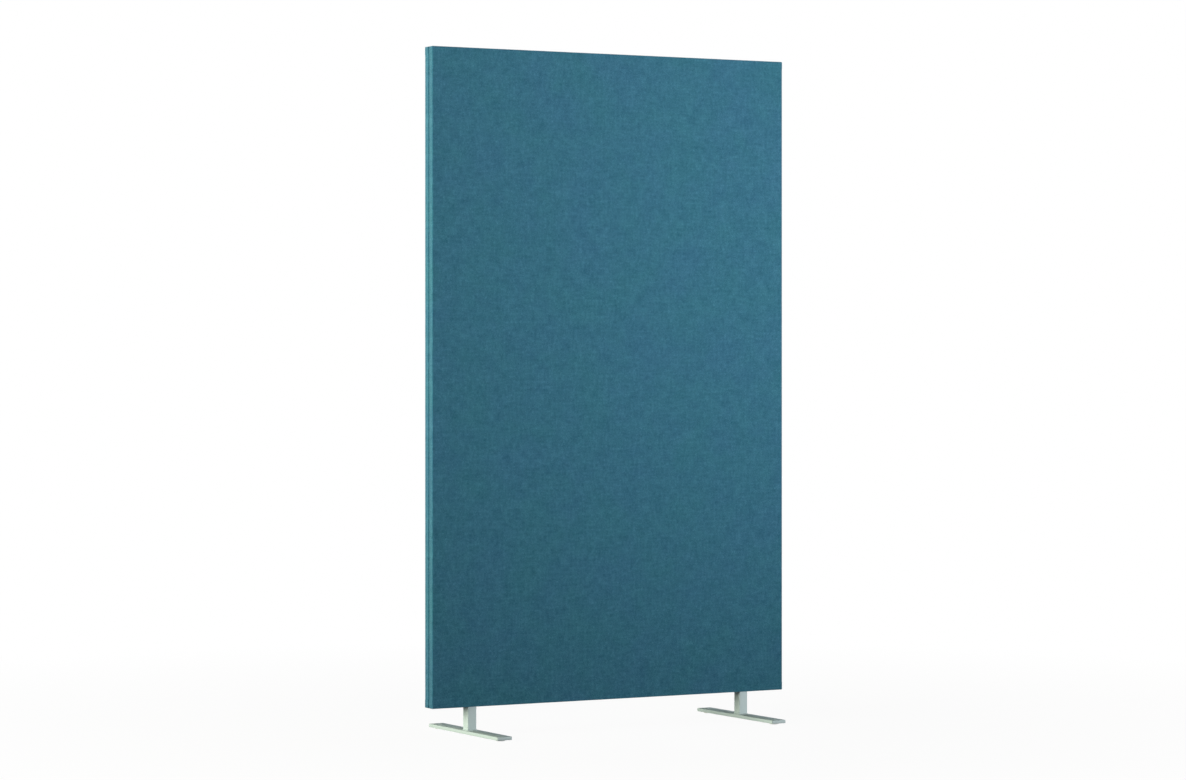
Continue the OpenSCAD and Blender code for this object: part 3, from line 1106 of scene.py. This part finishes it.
nut = {
    "radius": 0.006,
    "halfLength": 0.012,
    "up": 0.095,
    "ease": 0.0006,
    "threadHole": 0.00405,
    "cutHalf": 0.008,          # half the height of the hole's and the slot's cutters
    "slotWidth": 0.0014,
    "slotDepth": 0.004,        # half of it in the nut
    "slotCorner": 0.0002,
}


def makeNut(name, x):
    # barrel nut: a chamfered pin along Y with a screwdriver slot in its back end and a hole across it
    half = nut["halfLength"]
    barrel = ringPiece(name, turned(chamfered(nut["radius"], -half, half, nut["ease"])), finish["steel"])
    placed(barrel, x, 0, nut["up"], Matrix.Rotation(-math.pi / 2, 4, "X"))
    levels = (nut["up"] - nut["cutHalf"], nut["up"] + nut["cutHalf"])
    across = turned([(nut["threadHole"], z) for z in levels], (x, 0), 32)
    slotSize = (nut["slotWidth"], nut["slotDepth"], nut["slotCorner"])
    slot = [roundedRing(*slotSize, z, (x, half)) for z in levels]
    return smoothed(cutWith(barrel, [ringPiece("cutter", across), ringPiece("cutter", slot)]), 30)


pins = {"bottom": 0.065, "top": 0.081, "radius": 0.0015, "ease": 0.0004}


def makePins(name, x):
    steps = chamfered(pins["radius"], pins["bottom"], pins["top"], pins["ease"])
    made = []
    for off in (-skin["pinOffset"], skin["pinOffset"]):
        made.append(ringPiece(name + "One", turned(steps, (x + off, off), 32), finish["steel"]))
    return joined(name, made)


glide = {
    "padRadius": 0.012,
    "padHeight": 0.003,
    "padFloor": 0.0012,
    "tip": 0.0004,             # the smallest ring in the middle of a flat end
    "sole": ((0.0004, 0.0002), (0.0056, 0.0002), (0.006, 0.0)),      # the shallow hollow under the pad
    "soleEdge": ((0.0012, 0.0), (0.0004, 0.0003), (0.0, 0.0009)),    # in from the side and up
    "topEdge": ((0.0, 0.0006), (0.0003, 0.00015), (0.0008, 0.0)),    # in from the side and down
    "ribs": 28,
    "ribRadius": 0.00045,
    "ribInset": 0.0004,        # of the pad's side behind its ribs
    "ribSpare": 0.0014,        # how much lower than the pad they are
    "pocket": 0.00715,
    "pocketCorner": 0.0002,
    "flangeGap": 0.0001,       # under the stud's flange
    "ease": 0.0003,
    "flange": 0.007,
    "flangeHeight": 0.0014,
    "studTop": 0.0105,
    "studRadius": 0.004,
    "studRows": 64,
    "coreTaper": (0.0001, 0.0003),     # how much slimmer the thread's core gets towards the stud's top
    "coreLap": 0.0005,         # how far the thread's own wall goes into that core
    "socket": 0.002,
    "socketDepth": 0.003,
    "socketEase": 0.0002,
}


def makePad(name, x, y):
    # moulded pad: rounded sole with a shallow hollow in it, and a pocket for the stud's flange
    top, ease, pocket, corner = glide["padHeight"], glide["ease"], glide["pocket"], glide["pocketCorner"]
    r, floor = glide["padRadius"] - glide["ribInset"], glide["padFloor"]
    steps = list(glide["sole"])
    steps += [(r - inward, up) for inward, up in glide["soleEdge"]]
    steps += [(r - inward, top - down) for inward, down in glide["topEdge"]]
    steps += [(pocket + ease, top), (pocket, top - ease), (pocket, floor + corner)]
    steps += [(inward, floor - glide["flangeGap"]) for inward in (pocket - corner, glide["tip"])]
    body = ringPiece(name + "Body", turned(steps, (x, y), 56), finish["plastic"])
    sizes = {
        "Count": glide["ribs"],
        "Ring Radius": glide["padRadius"] - glide["ribRadius"],
        "Rib Radius": glide["ribRadius"],
        "Height": top - glide["ribSpare"],
    }
    ribs = placed(grow(name + "Ribs", ribTree, finish["plastic"], sizes), x, y, top / 2)
    return joined(name, [body, ribs])


def makeStud(name, x, y):
    # flange, threaded shank, and a hexagon socket in its top
    low, top, ease = glide["padFloor"], glide["studTop"], glide["ease"]
    flange, shoulder = glide["flange"], low + glide["flangeHeight"]
    r, socket = glide["studRadius"], glide["socket"]
    core = r - bolt["threadDepth"]
    slim, slimmer = glide["coreTaper"]
    steps = [
        (glide["tip"], low),
        (flange - ease, low),
        (flange, low + ease),
        (flange, shoulder - ease),
        (flange - ease, shoulder),
        (core, shoulder),
        (core - slim, top - ease),
        (core - slimmer, top),
        (socket + glide["socketEase"], top, "hex"),
        (socket, top - glide["socketEase"], "hex"),
        (socket, top - glide["socketDepth"], "hex"),
    ]
    shank = ringPiece(name + "Core", turned(steps, (x, y)), finish["steel"])
    length = top - low - glide["flangeHeight"]
    thread = makeThread(name, r, length, glide["studRows"], x, y, top - length)
    bore = [(core - glide["coreLap"], z) for z in (low, top + overrun)]
    cutWith(thread, [ringPiece("cutter", turned(bore, (x, y)))])
    return joined(name, [shank, thread])


bolts = {side: makeBolt(side + "FootBolt", x) for side, x in sides.items()}
nuts = {side: makeNut(side + "BarrelNut", x) for side, x in sides.items()}
pinPairs = {side: makePins(side + "LocatingPins", x) for side, x in sides.items()}
glides = {}
for side, x in sides.items():
    for end, y in ends.items():
        name = side + end.capitalize() + "Glide"
        glides[side + "_" + end] = (makePad(name + "Pad", x, y), makeStud(name + "Stud", x, y))
dress(finish["coat"], "left_post_plate", "right_post_plate")
print("fixings and glides made")


# What each piece rides on and stands for

def mount(piece, body, slot, *nodes):
    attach(piece, body)
    if nodes:
        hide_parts(*nodes)


mount(frontCover, "screen", "cover_cloth", "front_cover")
mount(backCover, "screen", "cover_cloth", "back_cover")
mount(frontWadding, "screen", "wadding", "front_wadding")
mount(backWadding, "screen", "wadding", "back_wadding")
mount(edgeSpline, "screen", "spline", "edge_spline")
mount(frameDowels, "screen", "dowel_wood", "frame_dowels")
for node, slab in slabs.items():
    mount(slab, "screen", "absorber_felt", node)
for side in sides:
    bar, post, weld = feet[side]
    mount(bar, "screen", "silver_coat", side + "_foot_bar")
    mount(post, "screen", "silver_coat", side + "_post")
    mount(weld, "screen", "silver_coat")
    mount(bolts[side], "screen", "zinc_steel", side + "_foot_bolt")
    mount(nuts[side], "screen", "zinc_steel", side + "_barrel_nut")
    mount(pinPairs[side], "screen", "zinc_steel", side + "_locating_pins")
for spot, (pad, stud) in glides.items():
    mount(pad, spot + "_pad", "glide_plastic", spot + "_glide_pad")
    mount(stud, spot + "_stud", "zinc_steel", spot + "_glide_stud")

print("pieces mounted")


# Stage, light and camera

light = {
    "horizon": (0.15, 0.1),        # the room's own light, strongest from low down: height and strength
    "zenith": (0.75, 0.01),
    "spread": 95.0,                # degrees; a narrower lamp leaves more of the floor dark
    "floorRadius": 40.0,
    "floorPaint": 0.95,
    "floorBounce": 0.14,           # what the floor throws back at the object
    "floorGlow": 0.95,             # share of the floor's white near the feet that takes no shadow
    "shadowReach": (0.7, 2.6),     # how far out the floor turns all white
}
lamps = {
    # power, size, place, target and colour; two stand low and aim up, so that the bars' tops stay
    # darker than their sides, and the top one is narrow and close over the edge that no other reaches
    "sideLight": (105.0, (2.0, 1.6), (-4.5, -0.2, 1.0), (-0.5, 0, 1.6), (1.0, 0.98, 0.79)),
    "frontLight": (62.7, (1.4, 0.3), (2.5, -2.75, 0.23), (-0.9, 0, 2.67), (1.0, 1.0, 1.0)),
    "topLight": (0.55, (1.1, 0.04), (0, 0, 1.88), (0, 0.001, 0), (1.0, 1.0, 1.0)),
    "backLight": (55.0, (2.0, 0.3), (3.4, 3.2, 0.25), (0, 0, 1.2), (1.0, 1.0, 1.0)),
}
view = {
    "place": (-4.430, -7.722, 0.944),
    "turn": -29.6,                 # degrees, with the camera level
    "sensor": 36.0,
    "lens": 108.73,
    "shift": -0.0368,
}


def backgroundRays():
    # 1 where the camera or a reflection looks at it, 0 where it only lights the object
    rays = addNode("ShaderNodeLightPath").outputs
    seen = calc("MAXIMUM", rays["Is Camera Ray"], rays["Is Glossy Ray"])
    return calc("MAXIMUM", seen, rays["Is Transmission Ray"])


def grey(level):
    return (level, level, level, 1)


def openCleared(owner):
    # an empty tree for a material or a world
    owner.use_nodes = True
    openTree(owner.node_tree).nodes.clear()


def makeStage():
    mesh = bpy.data.meshes.new("floor")
    ring = turned([(light["floorRadius"], 0.0)], count=96)[0]
    mesh.from_pydata(ring, [], [tuple(range(len(ring)))])
    made = bpy.data.materials.new("palePaint")
    openCleared(made)
    seen = backgroundRays()
    paint = mixColour(seen, grey(light["floorBounce"]), grey(light["floorPaint"]))
    matt = outOf("ShaderNodeBsdfDiffuse", {"Color": paint})
    white = outOf("ShaderNodeEmission", {"Color": grey(1)})
    measured = addNode("ShaderNodeVectorMath", {"Vector": ownPlace()}, operation="LENGTH")
    glow = fromRange(measured.outputs["Value"], *light["shadowReach"], light["floorGlow"], 1)
    shares = {0: calc("MULTIPLY", seen, glow), 1: matt, 2: white}
    addNode("ShaderNodeOutputMaterial", {"Surface": outOf("ShaderNodeMixShader", shares)})
    newPiece("floor", mesh, made)


def makeWorld():
    made = bpy.data.worlds.new("studio")
    bpy.context.scene.world = made
    openCleared(made)
    height = axesOf(addNode("ShaderNodeTexCoord").outputs["Generated"])["Z"]
    (low, lowLevel), (high, highLevel) = light["horizon"], light["zenith"]
    room = fromRange(height, low, high, lowLevel, highLevel)
    shade = mixValue(backgroundRays(), room, 1.0)
    addNode("ShaderNodeOutputWorld", {"Surface": outOf("ShaderNodeBackground", {"Color": shade})})


def addLamp(name, power, size, place, target, colour):
    data = bpy.data.lights.new(name, "AREA")
    data.color = colour
    data.spread = math.radians(light["spread"])
    data.shape = "RECTANGLE"
    data.size, data.size_y = size
    data.energy = power
    made = newPiece(name, data)
    made.location = place
    made.rotation_euler = (Vector(target) - Vector(place)).to_track_quat("-Z", "Y").to_euler()


def addCamera():
    data = bpy.data.cameras.new("camera")
    data.sensor_width = view["sensor"]
    data.lens = view["lens"]
    data.shift_y = view["shift"]
    made = newPiece("camera", data)
    made.location = view["place"]
    made.rotation_euler = (math.pi / 2, 0, math.radians(view["turn"]))
    bpy.context.scene.camera = made


makeStage()
makeWorld()
for name, values in lamps.items():
    addLamp(name, *values)
addCamera()
bpy.context.scene.view_settings.view_transform = "Standard"
print("stage, lights and camera made")
